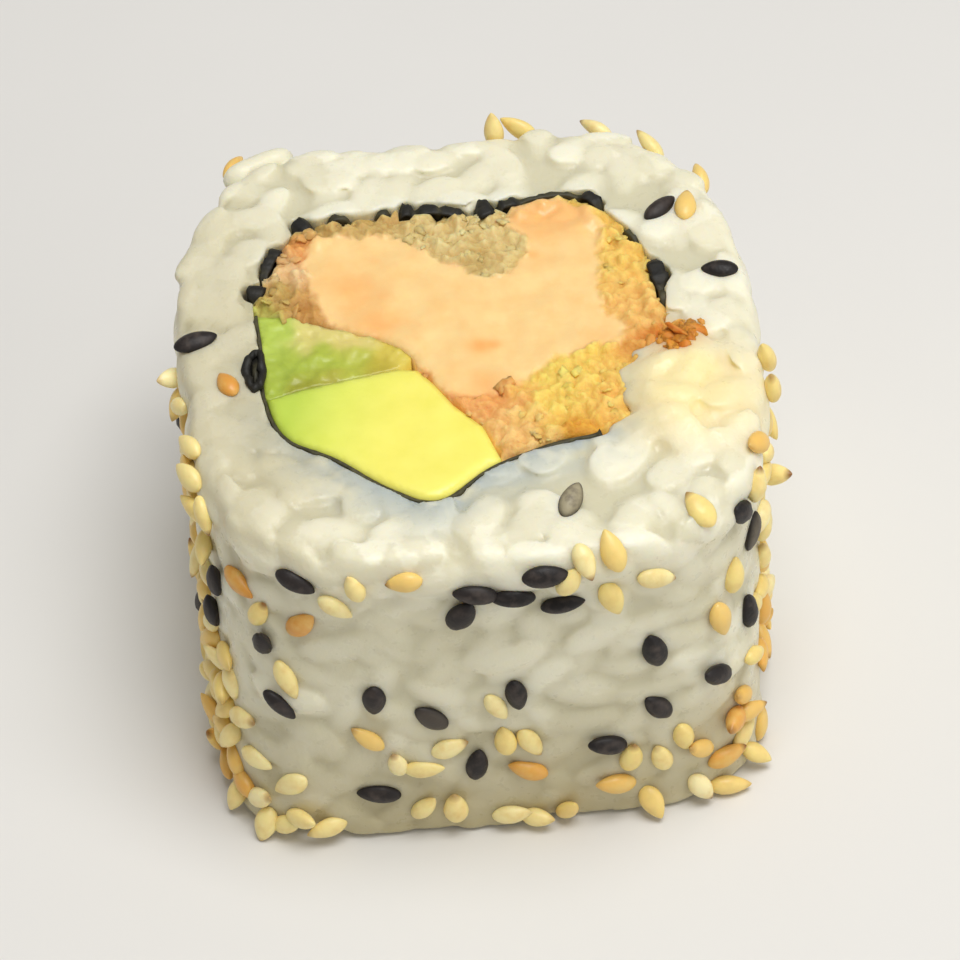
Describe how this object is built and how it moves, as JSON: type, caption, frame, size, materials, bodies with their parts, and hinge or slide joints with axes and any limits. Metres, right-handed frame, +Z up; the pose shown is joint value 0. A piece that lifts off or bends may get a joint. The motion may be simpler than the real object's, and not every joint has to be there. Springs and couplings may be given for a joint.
{
  "type": "uramaki roll piece",
  "caption": "Cut piece of an inside-out sushi roll: a rounded square ring of rice with sesame seeds round nori, breadcrumbed salmon and avocado, standing on a cut face.",
  "frame": {"origin": "middle of the base, on the lower cut face", "axes": "+Z up, along the roll's axis; +X right; -Y towards the viewer"},
  "size_m": [0.0427, 0.0447, 0.03],
  "materials": {
    "rice": "satin",
    "nori": "satin",
    "salmon": "satin",
    "crumb_coat": "matte",
    "avocado_ripe": "satin",
    "avocado_green": "satin",
    "white_sesame": "satin",
    "black_sesame": "satin"
  },
  "bodies": {
    "root": {"rice": "rice", "nori": "nori", "breaded_salmon": "salmon", "avocado_wedge": "avocado_ripe", "avocado_slice": "avocado_green"}
  },
  "joints": []
}
